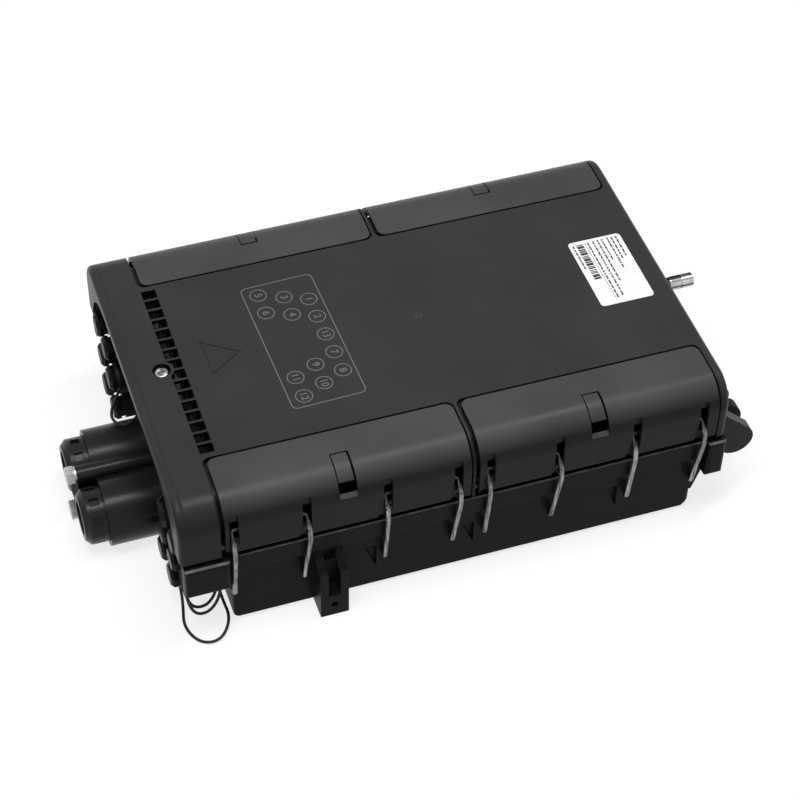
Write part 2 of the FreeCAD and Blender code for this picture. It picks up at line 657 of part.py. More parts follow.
def wall_pockets():
    """Shallow three-cornered pockets in the tub's sides."""
    pockets = []
    for x in POCKET_XS:
        y0 = TUB_HALF - POCKET_DEPTH
        corners = [(x - POCKET_WIDTH / 2, y0, POCKET_TOP), (x + POCKET_WIDTH / 2, y0, POCKET_TOP),
                   (x + POCKET_WIDTH / 2, y0, POCKET_TOP - POCKET_DROP)]
        pockets += both_sides(polygon_face(corners).extrude(V(0, 2 * POCKET_DEPTH, 0)))
    return pockets


def tray_posts():
    """Posts on the tub's floor that carry the tray stack."""
    dx = SPLITTER_LENGTH / 2 - POST_INSET
    dy = SPLITTER_WIDTH / 2 - POST_INSET
    return [rod_z(TUB_WALL / 2, TUB_WALL + POST_HEIGHT, TRAY_X + sx * dx, sy * dy, POST_D / 2)
            for sx in (-1, 1) for sy in (-1, 1)]


def gasket():
    """Seal between the tub and the cover, flat round three sides and arched over the port wall."""
    ring = slab(PORT_X, RIM_X1, -RIM_HALF, RIM_HALF, FLANGE_TOP, RIM_Z, RIM_R)
    ring = ring.cut(box(PORT_X - RIM_R, ROOM_X1, -ROOM_HALF, ROOM_HALF, FLANGE_LOW, HEIGHT))
    strip = port_wall(GASKET, PORT_X + TUB_WALL).common(box(-BIG, BIG, -BIG, BIG, FLANGE_TOP, HEIGHT))
    return fused([ring, strip]).cut(port_wall(0, PORT_X + TUB_WALL))


def latch_flap(bay):
    """Lever flap of the far side: skin, pivot barrel, bail ribs, slots and the release tongue."""
    x0 = bay[0] + PORT_GAP
    x1 = bay[1] - HINGE_GAP
    middle = (bay[0] + bay[1]) / 2
    low = PIVOT_Z - SKIN_DROP
    outer = arch(x0, x1, COVER_HALF, HEIGHT, SHOULDER_R, low)
    inner = arch(x0 - COVER_WALL, x1 + COVER_WALL, COVER_HALF - FLAP_WALL, HEIGHT - FLAP_WALL,
                 SHOULDER_R - FLAP_WALL, low - FLAP_WALL)
    skin = outer.cut(inner).common(flap_plan(x0, x1, SEAM_Y + SEAM_GAP, FLAP_CORNER_R))
    pieces = [skin, rod_x(x0, x1, PIVOT_Y, PIVOT_Z, PIVOT_INSET)]
    cuts = [
        rod_x(x0 - COVER_WALL, x1 + COVER_WALL, PIVOT_Y, PIVOT_Z, ROD_D / 2 + RUNNING),
        rod_x(x0, x1, BAIL_Y, BAIL_Z, WIRE_D / 2 + RUNNING),
    ]
    inside = COVER_HALF - FLAP_WALL - RING_GAP
    for leg, to_bail in zip(LEG_XS, (1, -1, 1, -1)):
        rib = middle + leg + to_bail * RIB_OFFSET
        slot = middle + leg + to_bail * SLOT_SHIFT
        notch = middle + leg - WIRE_D / 2
        pieces.append(box(rib - RIB_THICK / 2, rib + RIB_THICK / 2, RECESS_HALF + BARREL_GAP,
                          COVER_HALF - FLAP_WALL / 2, PIVOT_Z, BAIL_Z + 2 * WIRE_D))
        cuts.append(box(slot - SLOT_WIDTH / 2, slot + SLOT_WIDTH / 2, inside, BIG, SLOT_LOW, SLOT_TOP))
        cuts.append(box(notch - LIP_NOTCH, notch, inside, BIG, low - FLAP_WALL, low + LIP_NOTCH_HEIGHT))
    return fused(pieces).cut(cuts + tongue_cuts(middle))


def tongue_cuts(middle):
    """Window under the release tongue, its sloped sill, the slits beside it and the groove at its start."""
    half = TONGUE_WIDTH / 2
    start = COVER_HALF - TONGUE_TOP_INSET
    x0 = middle - half - TONGUE_SLITS[0]
    x1 = middle + half + TONGUE_SLITS[1]
    far = COVER_HALF + FLAP_WALL
    sill = polygon_face([(x0, COVER_HALF - FLAP_WALL, WINDOW_LOW), (x0, far, WINDOW_LOW),
                         (x0, far, WINDOW_LOW - 2 * SILL_DROP)])
    return [
        box(x0, x1, RECESS_HALF, far, WINDOW_LOW, WINDOW_TOP),
        sill.extrude(V(x1 - x0, 0, 0)),
        box(x0, middle - half, start, far, WINDOW_LOW, HEIGHT + FLAP_WALL),
        box(middle + half, x1, start, far, WINDOW_LOW, HEIGHT + FLAP_WALL),
        box(x0, x1, start, start + TONGUE_GROOVE, HEIGHT - TONGUE_GROOVE, HEIGHT + FLAP_WALL),
    ]


def bent_path(points, bend):
    """Straight runs joined by tangent arcs of a bend radius, smaller where a run is too short for it."""
    corners = [V(*p) for p in points]
    edges = []
    start = corners[0]
    for before, corner, after in zip(corners, corners[1:], corners[2:]):
        back = (before - corner).normalize()
        ahead = (after - corner).normalize()
        half_turn = (math.pi - back.getAngle(ahead)) / 2
        room = ARC_SHARE * min((before - corner).Length, (after - corner).Length)
        trim = min(room, bend * math.tan(half_turn))
        radius = trim / math.tan(half_turn)
        inward = (back + ahead).normalize()
        middle = corner + inward * (radius / math.cos(half_turn) - radius)
        arc_end = corner + ahead * trim
        edges.append(Part.LineSegment(start, corner + back * trim).toShape())
        edges.append(Part.Arc(corner + back * trim, middle, arc_end).toShape())
        start = arc_end
    edges.append(Part.LineSegment(start, corners[-1]).toShape())
    return Part.Wire(edges)


def round_bar(points, diameter, bend):
    """Round bar or cord along a bent path."""
    start = V(*points[0])
    ring = Part.Wire([Part.Circle(start, V(*points[1]) - start, diameter / 2).toShape()])
    return bent_path(points, bend).makePipeShell([ring], True, True, 0)


def bail(x0, x1):
    """Wire bail of the far side: two kinked legs with hooks on a crossbar that turns in the flap's ribs."""
    hook_y = FLANGE_HALF + HOOK_LEG_GAP
    legs = []
    for x, lean in zip((x0, x1), LEG_LEANS):
        legs.append([
            (x + lean, TUB_HALF + HOOK_REACH, HOOK_Z),
            (x + lean, hook_y, HOOK_Z),
            (x, COVER_HALF + KINK_PROUD, KINK_Z),
            (x, COVER_HALF + ELBOW_PROUD, ELBOW_Z),
            (x, BAIL_Y, BAIL_Z),
        ])
    return round_bar(legs[0] + legs[1][::-1], WIRE_D, BEND_R)


def bails(bay):
    middle = (bay[0] + bay[1]) / 2
    pairs = [(LEG_XS[0], LEG_XS[1]), (LEG_XS[2], LEG_XS[3])]
    return Part.makeCompound([bail(middle + a, middle + b) for a, b in pairs])


def latch_rod():
    return rod_x(LATCH_X0 - COVER_WALL, LATCH_X1 + ROD_SEAT, PIVOT_Y, PIVOT_Z, ROD_D / 2)


def hinge_rod():
    return rod_y(-HINGE_ROD_END, HINGE_ROD_END, HINGE_X, HINGE_Z, HINGE_ROD_D / 2)


def port_adapters():
    adapters = []
    for y, z in ports().values():
        inside = PORT_X + TUB_WALL
        adapters.append(fused([
            rod_x(PORT_X - NOSE_LENGTH, inside + 2 * PORT_NUT_THICK, y, z, NOSE_D / 2),
            prism_x(PORT_X - PORT_NUT_THICK, PORT_X, y, z, PORT_NUT, 6),
            prism_x(inside, inside + PORT_NUT_THICK, y, z, PORT_NUT, 6),
        ]))
    return Part.makeCompound(adapters)


def dust_cap(y, z):
    """Eight-sided cap over a port's nose, with a groove for its lanyard near the tip."""
    tip_flats = CAP_FLATS - 2 * CAP_BEVEL
    grip = prism_x(GROOVE_X + CAP_GROOVE, CAP_X, y, z, CAP_FLATS, 8)
    neck = prism_x(GROOVE_X, GROOVE_X + CAP_GROOVE, y, z, CAP_GROOVE_FLATS, 8)
    knob = prism_x(CAP_TIP_X + CAP_BEVEL, GROOVE_X, y, z, CAP_FLATS, 8)
    faces = [prism_x(CAP_TIP_X + CAP_BEVEL, CAP_TIP_X + 2 * CAP_BEVEL, y, z, CAP_FLATS, 8),
             prism_x(CAP_TIP_X, CAP_TIP_X + CAP_BEVEL, y, z, tip_flats, 8)]
    rims = [min(f.Faces, key=lambda g: g.CenterOfMass.x).OuterWire for f in faces]
    bevel = Part.makeLoft(rims, True, True)
    bore = rod_x(CAP_X - CAP_BORE_DEPTH, CAP_X + CAP_GROOVE, y, z, NOSE_D / 2 + CAP_BORE_GAP)
    return fused([grip, neck, knob, bevel]).cut(bore)


def ring_x(x, y, z, inner):
    """Flat ring round an axis along X, centred on x."""
    x0 = x - RING_WIDTH / 2
    x1 = x + RING_WIDTH / 2
    return rod_x(x0, x1, y, z, inner + RING_THICK).cut(rod_x(x0, x1, y, z, inner))


def lanyard_rings():
    """Rings of the lanyards, one on the neck of each port and one in the groove of its cap."""
    rings = []
    groove_r = CAP_GROOVE_FLATS / 2 / math.cos(math.pi / 8)
    for number in CORD_ROUTES:
        y, z = ports()[number]
        rings.append(ring_x(PORT_X - PORT_NUT_THICK - (CAP_STANDOFF - PORT_NUT_THICK) / 2, y, z,
                            NOSE_D / 2 + RING_GAP))
        rings.append(ring_x(GROOVE_X + CAP_GROOVE / 2, y, z, groove_r + RING_GAP))
    return Part.makeCompound(rings)


def cord(number):
    """Lanyard of a port, bent as gently as its route allows."""
    y, z = ports()[number]
    points = [(PORT_X + px, y + py, z + pz) for px, py, pz in CORD_ROUTES[number]]
    tube = round_bar(points, CORD_D, BIG)
    length = bent_path(points, BIG).Length
    share = tube.Volume / (math.pi * CORD_D ** 2 / 4 * length)
    print("lanyard %d: length %.1f, volume over section times length %.4f" % (number, length, share))
    return tube


def lobed(x0, x1, lobe_r, web):
    """Two round lobes side by side with a web between them."""
    lobes = [rod_x(x0, x1, y, GLAND_Z, lobe_r) for y in LOBE_YS]
    middle = box(x0, x1, LOBE_YS[0], LOBE_YS[1], GLAND_Z - web / 2, GLAND_Z + web / 2)
    return fused(lobes + [middle])


def gland_collar():
    bosses = [rod_x(COLLAR_X, PORT_X, 0, z, BOLT_BOSS_R) for z in BOLT_ZS]
    tie = box(COLLAR_X, PORT_X, -BOLT_BOSS_R, BOLT_BOSS_R, BOLT_ZS[0], BOLT_ZS[1])
    body = fused([lobed(COLLAR_X, PORT_X, LOBE_R, GLAND_WEB), tie] + bosses)
    hollow = lobed(COLLAR_X - GLAND_WALL, PORT_X + GLAND_WALL, LOBE_R - GLAND_WALL,
                   GLAND_WEB - 2 * GLAND_WALL)
    threads = [rod_x(COLLAR_X - GLAND_WALL, COLLAR_X + BOLT_GRIP, 0, z, BOLT_D / 2 + RUNNING)
               for z in BOLT_ZS]
    return body.cut([hollow] + threads)


def gland_plate():
    """Compression plate: bevelled lobes, bolt ears in the valleys, side notches and two cable ways."""
    lobe_r = LOBE_R - GLAND_WALL - PLATE_GAP
    web = GLAND_WEB - 2 * GLAND_WALL - 2 * PLATE_GAP
    body = lobed(PLATE_X, COLLAR_X + PLATE_DEPTH, lobe_r, web)
    rim = [e for e in body.Edges if all(abs(v.X - PLATE_X) < RUNNING for v in e.Vertexes)]
    body = body.makeChamfer(PLATE_BEVEL, rim)
    ears = [rod_x(COLLAR_X - EAR_LENGTH, COLLAR_X, 0, z, EAR_R) for z in BOLT_ZS]
    tie = box(COLLAR_X - EAR_LENGTH, COLLAR_X, -EAR_R / 2, EAR_R / 2, BOLT_ZS[0], BOLT_ZS[1])
    body = fused([body, tie] + ears)
    cuts = [rod_x(COLLAR_X - BIG, COLLAR_X + BIG, 0, z, BOLT_D / 2 + RUNNING) for z in BOLT_ZS]
    cuts += [rod_x(PLATE_X - PLATE_GAP, COLLAR_X + BIG, y, GLAND_Z, PLUG_D / 2) for y in LOBE_YS]
    for y in LOBE_YS:
        for turn in NOTCH_TURNS:
            for up in (-1, 1):
                notch = box(PLATE_X + PLATE_BEVEL + NOTCH_DEPTH, COLLAR_X - GLAND_WALL,
                            y + lobe_r - NOTCH_DEPTH, y + LOBE_R,
                            GLAND_Z - NOTCH_WIDTH / 2, GLAND_Z + NOTCH_WIDTH / 2)
                outward = turn if y > 0 else 180 - turn
                notch.rotate(V(0, y, GLAND_Z), V(1, 0, 0), up * outward)
                cuts.append(notch)
    return body.cut(cuts)


def gland_plugs():
    x0 = PLATE_X + PLUG_RECESS
    return Part.makeCompound([rod_x(x0, x0 + PLUG_LENGTH, y, GLAND_Z, PLUG_D / 2) for y in LOBE_YS])


def gland_seal():
    x0 = COLLAR_X + PLATE_DEPTH
    return lobed(x0, x0 + SEAL_LENGTH, LOBE_R - GLAND_WALL, GLAND_WEB - 2 * GLAND_WALL)


def gland_washers():
    x1 = COLLAR_X - EAR_LENGTH
    rings = []
    for z in BOLT_ZS:
        ring = rod_x(x1 - WASHER_THICK, x1, 0, z, WASHER_D / 2)
        rings.append(ring.cut(rod_x(x1 - BIG, x1 + BIG, 0, z, BOLT_D / 2 + RUNNING)))
    return Part.makeCompound(rings)


def gland_bolts():
    seat = COLLAR_X - EAR_LENGTH - WASHER_THICK
    bolts = []
    for z in BOLT_ZS:
        head = prism_x(seat - BOLT_HEAD, seat, 0, z, BOLT_FLATS, 6)
        bolts.append(fused([head, rod_x(seat, COLLAR_X + BOLT_GRIP - RING_GAP, 0, z, BOLT_D / 2)]))
    return Part.makeCompound(bolts)


def cover_screw():
    seat = HEIGHT - SCREW_SINK
    head = rod_z(seat, seat + SCREW_HEAD, SCREW_X, SCREW_Y, SCREW_HEAD_D / 2)
    top = [e for e in head.Edges if all(v.Z > seat + RUNNING for v in e.Vertexes)]
    head = head.makeFillet(SCREW_HEAD / 2, top)
    floor = seat + SCREW_HEAD - CROSS_DEPTH
    for length, width in ((CROSS_LENGTH, CROSS_WIDTH), (CROSS_WIDTH, CROSS_LENGTH)):
        head = head.cut(box(SCREW_X - length / 2, SCREW_X + length / 2,
                            SCREW_Y - width / 2, SCREW_Y + width / 2, floor, HEIGHT))
    return fused([head, rod_z(FLANGE_TOP - SCREW_BITE + RING_GAP, seat, SCREW_X, SCREW_Y, SCREW_D / 2)])


def label_sticker():
    z0 = HEIGHT - STICKER_SINK
    return slab(STICKER_X - STICKER_LENGTH / 2, STICKER_X + STICKER_LENGTH / 2, STICKER_Y - STICKER_WIDTH / 2,
                STICKER_Y + STICKER_WIDTH / 2, z0, z0 + STICKER_THICK, STICKER_R)


def valve_body():
    """Air valve through the cover's end: nut, shank, ring and hexagon."""
    x1 = TAIL_X + VALVE_SHANK
    nut = prism_x(ROOM_X1 - VALVE_NUT, ROOM_X1, 0, VALVE_Z, VALVE_NUT_FLATS, 6)
    shank = rod_x(ROOM_X1 - VALVE_NUT, x1, 0, VALVE_Z, VALVE_SHANK_D / 2)
    ring = rod_x(x1 - VALVE_RING, x1, 0, VALVE_Z, VALVE_RING_D / 2)
    hexagon = prism_x(x1, x1 + VALVE_HEX, 0, VALVE_Z, VALVE_FLATS, 6)
    return fused([nut, shank, ring, hexagon])


def valve_cap():
    x0 = TAIL_X + VALVE_SHANK + VALVE_HEX
    cap = rod_x(x0, x0 + VALVE_CAP, 0, VALVE_Z, VALVE_CAP_D / 2)
    tip = [e for e in cap.Edges if all(v.X > x0 + RUNNING for v in e.Vertexes)]
    return cap.makeChamfer(VALVE_RING / 2, tip)


def splice_tray(level):
    z0 = TUB_WALL + POST_HEIGHT + SPLITTER_HEIGHT + level * TRAY_STEP
    x0 = TRAY_X - TRAY_LENGTH / 2
    y0 = -TRAY_WIDTH / 2
    tray = slab(x0, x0 + TRAY_LENGTH, y0, -y0, z0, z0 + TRAY_STEP, TRAY_R)
    hollow = slab(x0 + TRAY_WALL, x0 + TRAY_LENGTH - TRAY_WALL, y0 + TRAY_WALL, -y0 - TRAY_WALL,
                  z0 + TRAY_STEP - TRAY_HEIGHT, z0 + 2 * TRAY_STEP, TRAY_R - TRAY_WALL)
    return tray.cut(hollow)


def splitter_module():
    z0 = TUB_WALL + POST_HEIGHT
    x0 = TRAY_X - SPLITTER_LENGTH / 2
    return slab(x0, x0 + SPLITTER_LENGTH, -SPLITTER_WIDTH / 2, SPLITTER_WIDTH / 2, z0, z0 + SPLITTER_HEIGHT,
                SPLITTER_R)


def cable_clamp():
    """Saddle on the tub's floor that holds the main cables behind the gland."""
    half = CLAMP_WIDTH / 2
    block = slab(CLAMP_X - CLAMP_LENGTH / 2, CLAMP_X + CLAMP_LENGTH / 2, -half, half, TUB_WALL,
                 TUB_WALL + CLAMP_HEIGHT, CLAMP_STRAP)
    top = TUB_WALL + CLAMP_HEIGHT
    ways = [rod_x(CLAMP_X - CLAMP_LENGTH, CLAMP_X + CLAMP_LENGTH, y, top, PLUG_D / 2 - CLAMP_STRAP)
            for y in LOBE_YS]
    return block.cut(ways)


def build():
    """Every piece by its name."""
    parts = {
        "base_shell": base_shell(),
        "cover_shell": cover_shell(),
        "cover_gasket": gasket(),
        "hinge_rod": hinge_rod(),
        "port_adapters": port_adapters(),
        "lanyard_rings": lanyard_rings(),
        "gland_collar": gland_collar(),
        "gland_plate": gland_plate(),
        "gland_plugs": gland_plugs(),
        "gland_seal": gland_seal(),
        "gland_washers": gland_washers(),
        "gland_bolts": gland_bolts(),
        "cover_screw": cover_screw(),
        "label_sticker": label_sticker(),
        "valve_body": valve_body(),
        "valve_cap": valve_cap(),
        "splitter_module": splitter_module(),
        "cable_clamp": cable_clamp(),
        "latch_rod_far": latch_rod(),
        "latch_rod_near": mirrored(latch_rod()),
    }
    for end, bay in zip(("port", "hinge"), flap_bays()):
        flap = latch_flap(bay)
        wires = bails(bay)
        parts["latch_flap_far_" + end] = flap
        parts["latch_flap_near_" + end] = mirrored(flap)
        parts["latch_bails_far_" + end] = wires
        parts["latch_bails_near_" + end] = mirrored(wires)
    for number, (y, z) in sorted(ports().items()):
        parts["dust_cap_%02d" % number] = dust_cap(y, z)
    for number in CORD_ROUTES:
        parts["lanyard_%02d" % number] = cord(number)
    for level in range(TRAY_COUNT):
        parts["splice_tray_%d" % (level + 1)] = splice_tray(level)
    return parts


os.makedirs("parts", exist_ok=True)
for name, shape in build().items():
    if not shape.isValid():
        print("not valid:", name)
    shape.exportStep("parts/%s.step" % name)
    print("%-24s solids %d  volume %.0f" % (name, len(shape.Solids), shape.Volume))
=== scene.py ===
import bpy
import bmesh
import math
import random
from mathutils import Matrix, Vector


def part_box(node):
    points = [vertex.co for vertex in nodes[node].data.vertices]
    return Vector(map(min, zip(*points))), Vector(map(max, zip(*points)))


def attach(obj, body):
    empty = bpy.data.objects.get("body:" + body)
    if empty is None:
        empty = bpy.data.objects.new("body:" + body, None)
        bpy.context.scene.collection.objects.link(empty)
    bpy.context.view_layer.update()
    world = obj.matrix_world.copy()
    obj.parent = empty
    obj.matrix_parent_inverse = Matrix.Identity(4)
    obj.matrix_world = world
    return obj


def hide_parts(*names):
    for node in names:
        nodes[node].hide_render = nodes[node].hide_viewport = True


# Fibre distribution hub box: finishes of the CAD nodes, smooth lanyards, the print on the cover
# and a plain studio. Lengths are in millimetres, and in metres for the studio.

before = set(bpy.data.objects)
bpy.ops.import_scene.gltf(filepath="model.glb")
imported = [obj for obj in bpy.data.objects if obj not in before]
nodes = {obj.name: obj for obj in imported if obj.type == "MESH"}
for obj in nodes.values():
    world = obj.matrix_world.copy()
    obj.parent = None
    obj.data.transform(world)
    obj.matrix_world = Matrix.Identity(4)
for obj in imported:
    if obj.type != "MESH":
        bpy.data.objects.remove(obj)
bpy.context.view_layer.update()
MM = 0.001
WHITE = (1, 1, 1, 1)
HOUSING = "housing"                           # body that the pieces made here ride on
HOOD_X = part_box("cover_shell")[0][0] / MM     # where the cover's hood ends


def new_object(name, data):
    obj = bpy.data.objects.new(name, data)
    bpy.context.scene.collection.objects.link(obj)
    return obj


# Camera, as the photograph was taken: degrees, millimetres and pixels
AZIMUTH = -19.62275
ELEVATION = 46.70921
ROLL = 1.47154
CAMERA_AT = (-392.1, -1072.7, 1251.6)
FOCAL_PX = 2251.14
FRAME_PX = 800
SENSOR = 36.0
CLIP_END = 20                 # metres


def add_camera():
    a, e, r = (math.radians(v) for v in (AZIMUTH, ELEVATION, ROLL))
    back = Vector((math.sin(a) * math.cos(e), -math.cos(a) * math.cos(e), math.sin(e)))
    right = (-back).cross(Vector((0, 0, 1))).normalized()
    down = (-back).cross(right)
    turned_right = right * math.cos(r) - down * math.sin(r)
    turned_down = right * math.sin(r) + down * math.cos(r)
    data = bpy.data.cameras.new("camera")
    data.sensor_width = SENSOR
    data.lens = FOCAL_PX * SENSOR / FRAME_PX
    data.clip_end = CLIP_END
    cam = new_object("camera", data)
    turn = Matrix((turned_right, -turned_down, back)).transposed().to_4x4()
    cam.matrix_world = Matrix.Translation(Vector(CAMERA_AT) * MM) @ turn
    bpy.context.scene.camera = cam


# Node helpers
RIM = (0.75, 0.99)            # cosine between rounded and flat normal, from an edge to a flat


def grey(value):
    return (value, value, value)


class Nodes:
    """Short calls for building one material's node tree."""

    def __init__(self, name):
        self.mat = bpy.data.materials.new(name)
        self.mat.use_nodes = True
        self.tree = self.mat.node_tree
        self.shader = self.tree.nodes["Principled BSDF"]
        self.coords = self.tree.nodes.new("ShaderNodeTexCoord").outputs["Object"]

    def add(self, kind, **values):
        node = self.tree.nodes.new(kind)
        for key, value in values.items():
            setattr(node, key, value)
        return node

    def link(self, a, b):
        self.tree.links.new(a, b)

    def set(self, **values):
        """Plain values for the shader's own sockets."""
        for key, value in values.items():
            self.shader.inputs[key.replace("_", " ")].default_value = value

    def out(self, socket, name):
        """Link to one of the shader's sockets."""
        self.link(socket, self.shader.inputs[name])

    def noise(self, scale, detail=3.0, stretch=None, roughness=0.5):
        node = self.add("ShaderNodeTexNoise")
        node.inputs["Scale"].default_value = scale
        node.inputs["Detail"].default_value = detail
        node.inputs["Roughness"].default_value = roughness
        source = self.coords
        if stretch:
            mapping = self.add("ShaderNodeMapping")
            mapping.inputs["Scale"].default_value = stretch
            self.link(source, mapping.inputs["Vector"])
            source = mapping.outputs["Vector"]
        self.link(source, node.inputs["Vector"])
        return node.outputs["Fac"]

    def spread(self, fac, low, high, start=0.3, end=0.7):
        """Number that runs from low to high as fac goes from start to end."""
        node = self.add("ShaderNodeMapRange")
        values = {"From Min": start, "From Max": end, "To Min": low, "To Max": high}
        for key, value in values.items():
            node.inputs[key].default_value = value
        self.link(fac, node.inputs["Value"])
        return node.outputs["Result"]

    def math(self, operation, a, b=0.0):
        node = self.add("ShaderNodeMath", operation=operation)
        for i, value in enumerate((a, b)):
            if hasattr(value, "is_linked"):
                self.link(value, node.inputs[i])
            else:
                node.inputs[i].default_value = value
        return node.outputs["Value"]

    def mix(self, fac, a, b):
        """Colour from a to b as fac goes from 0 to 1."""
        node = self.add("ShaderNodeMix", data_type="RGBA")
        self.link(fac, node.inputs["Factor"])
        for key, value in (("A", a), ("B", b)):
            socket = next(s for s in node.inputs if s.name == key and s.type == "RGBA")
            if hasattr(value, "is_linked"):
                self.link(value, socket)
            else:
                socket.default_value = (*value, 1)
        return next(s for s in node.outputs if s.type == "RGBA")

    def bump(self, height, distance, strength, normal=None):
        node = self.add("ShaderNodeBump")
        node.inputs["Strength"].default_value = strength
        node.inputs["Distance"].default_value = distance
        self.link(height, node.inputs["Height"])
        if normal is not None:
            self.link(normal, node.inputs["Normal"])
        return node.outputs["Normal"]

    def rounded(self, radius):
        """Normal with small rounds on sharp edges, and a mask of those edges."""
        bevel = self.add("ShaderNodeBevel", samples=4)
        bevel.inputs["Radius"].default_value = radius
        flat = self.add("ShaderNodeNewGeometry").outputs["Normal"]
        dot = self.add("ShaderNodeVectorMath", operation="DOT_PRODUCT")
        self.link(bevel.outputs["Normal"], dot.inputs[0])
        self.link(flat, dot.inputs[1])
        edge = self.spread(dot.outputs["Value"], 1.0, 0.0, *RIM)
        return bevel.outputs["Normal"], edge

    def place(self, axis):
        """One coordinate of the surface point, in millimetres."""
        split = self.add("ShaderNodeSeparateXYZ")
        self.link(self.coords, split.inputs[0])
        return self.math("DIVIDE", split.outputs["XYZ".index(axis)], MM)

    def within(self, axis, low, high):
        """1 where a coordinate lies between two values, else 0."""
        middle, half = (low + high) / 2, (high - low) / 2
        off = self.math("ABSOLUTE", self.math("SUBTRACT", self.place(axis), middle))
        return self.math("LESS_THAN", off, half)

    def in_box(self, ranges):
        """1 inside a box, else 0."""
        x, y, z = (self.within(axis, *span) for axis, span in zip("XYZ", ranges))
        return self.math("MULTIPLY", self.math("MULTIPLY", x, y), z)

    def facing_up(self):
        """How far the surface faces up while its part is at rest, 1 for a level top."""
        split = self.add("ShaderNodeSeparateXYZ")
        self.link(self.coords.node.outputs["Normal"], split.inputs[0])
        return split.outputs["Z"]


# Moulded plastic. A value marked share is multiplied by the plastic's own tone
CLOUD_SCALE = 14
CLOUD_TONES = (0.85, 1.15)    # share
SCUFF_SCALE = 60
SCUFF_STRETCH = (1.0, 7.0, 3.0)
SCUFF_BAND = (0.62, 0.8)      # span of the noise that becomes scuffs
SCUFF_COVER = 0.35            # how far a scuff covers the plastic
SCUFF_POLISH = 0.15           # how much smoother a scuff is
WORN_TONE = 1.6               # share
EDGE_SCALE = 220
EDGE_LEAST = 0.3              # share of the edge mark where it is thinnest, of the most
EDGE_PALING = 0.03              # how much paler edges are, partly from wear and partly as a painted highlight
SEAM_SHADE_TONE = 0.003             # tone of the painted shade on edges at the flaps' joins
SHADED_SIDE_SPAN = (0.4, 0.85)         # how far a face looks up, from an upright side in full painted shade to a top with none
HIGHLIT_EDGE_HEIGHTS = (73.8, 74.9)         # heights of the flange's top edge, which gets a painted highlight
HIGHLIT_EDGE_TONE = 0.2
HIGHLIT_EDGE_SCALE = 150
HIGHLIT_EDGE_LEAST = 0.35           # how far the painted highlight covers where it is thinnest
GRAIN_SCALE = 1100
GRAIN_DEPTH = 0.2
ROUGH_VARIES = 0.05
# Places on the cover and the base that get painted shade
VENT_BOX = ((-181.0, -169.0), (-87.0, 87.0), (90.0, 126.6))
BAY_BOX = ((-182.0, 182.0), (86.5, 134.0), (60.0, 126.6))
WALL_BOX = ((-182.0, -160.0), (-87.0, 87.0), (84.0, 96.0))
SHADE = 0.12                  # share, down in the vents
BAY_SHADE = 0.65              # how far that shade covers what is under the flaps
GATE_AT = (2.5, 0.0)
GATE_R = (1.3, 2.7)           # pale ring left by the mould's gate
GATE_TONE = 2                 # share
LIP = (4.7, 7.5)              # step beside the hood's rolled edge, from the end
LIP_DEPTH = 1.6


def moulded(name, tone, rough, spec=0.16, grain=0.05, edge=0.6, rounding=0.5, tone_on_shaded_sides=1.0,
            shaded_seams=False, line=None, painted_shade_mask=None, hood=False):
    """Moulded plastic: fine grain, cloudy tone, faint scuffs, edges paled by wear and a painted
    highlight, painted shade on upright faces.

    Upright faces keep a share of the tone under painted shade; edges can get painted shade in
    place of paling;
    line gives heights with a painted highlight; a mask gives the hollows painted shade; hood
    adds the lip and the gate.
    """
    n = Nodes(name)
    n.set(Specular_IOR_Level=spec)
    cloud = n.noise(CLOUD_SCALE, detail=4)
    colour = n.mix(n.spread(cloud, 0, 1), *(grey(tone * share) for share in CLOUD_TONES))
    scratches = n.noise(SCUFF_SCALE, detail=6, stretch=SCUFF_STRETCH, roughness=0.7)
    scuff = n.spread(scratches, 0, SCUFF_COVER, *SCUFF_BAND)
    colour = n.mix(scuff, colour, grey(tone * WORN_TONE))
    # Edges are paled partly by wear and partly as a painted highlight.
    normal, rim = n.rounded(rounding * MM)
    edge_mask = n.math("MULTIPLY", rim, n.spread(n.noise(EDGE_SCALE), EDGE_LEAST * edge, edge))
    # On the flaps the edges get painted shade here.
    colour = n.mix(edge_mask, colour, grey(SEAM_SHADE_TONE if shaded_seams else tone * WORN_TONE + EDGE_PALING))
    # Painted shade on upright faces, deeper as a face turns from looking up to upright.
    if tone_on_shaded_sides < 1:
        colour = n.mix(n.spread(n.facing_up(), 1 - tone_on_shaded_sides, 0, *SHADED_SIDE_SPAN), colour, grey(0))
    # Painted highlight along the flange's top edge, in patches.
    if line:
        patchy = n.spread(n.noise(HIGHLIT_EDGE_SCALE), HIGHLIT_EDGE_LEAST, 1.0)
        highlit = n.math("MULTIPLY", n.within("Z", *line), patchy)
        colour = n.mix(highlit, colour, grey(HIGHLIT_EDGE_TONE))
    if hood:
        colour = n.mix(gate_ring(n), colour, grey(tone * GATE_TONE))
        step = n.spread(n.place("X"), 0, 1, HOOD_X + LIP[0], HOOD_X + LIP[1])
        normal = n.bump(step, LIP_DEPTH * MM, 1.0, normal)
    # Painted shade in the vents, under the flaps and on the port wall's top.
    if painted_shade_mask:
        colour = n.mix(painted_shade_mask(n), colour, grey(tone * SHADE))
    n.out(colour, "Base Color")
    speck = n.noise(GRAIN_SCALE, detail=2)
    rough_map = n.math("ADD", n.spread(cloud, rough - ROUGH_VARIES, rough + ROUGH_VARIES),
                       n.spread(speck, -ROUGH_VARIES, ROUGH_VARIES))
    n.out(n.math("SUBTRACT", rough_map, n.math("MULTIPLY", scuff, SCUFF_POLISH)), "Roughness")
    n.out(n.bump(speck, GRAIN_DEPTH * MM, grain, normal), "Normal")
    return n.mat


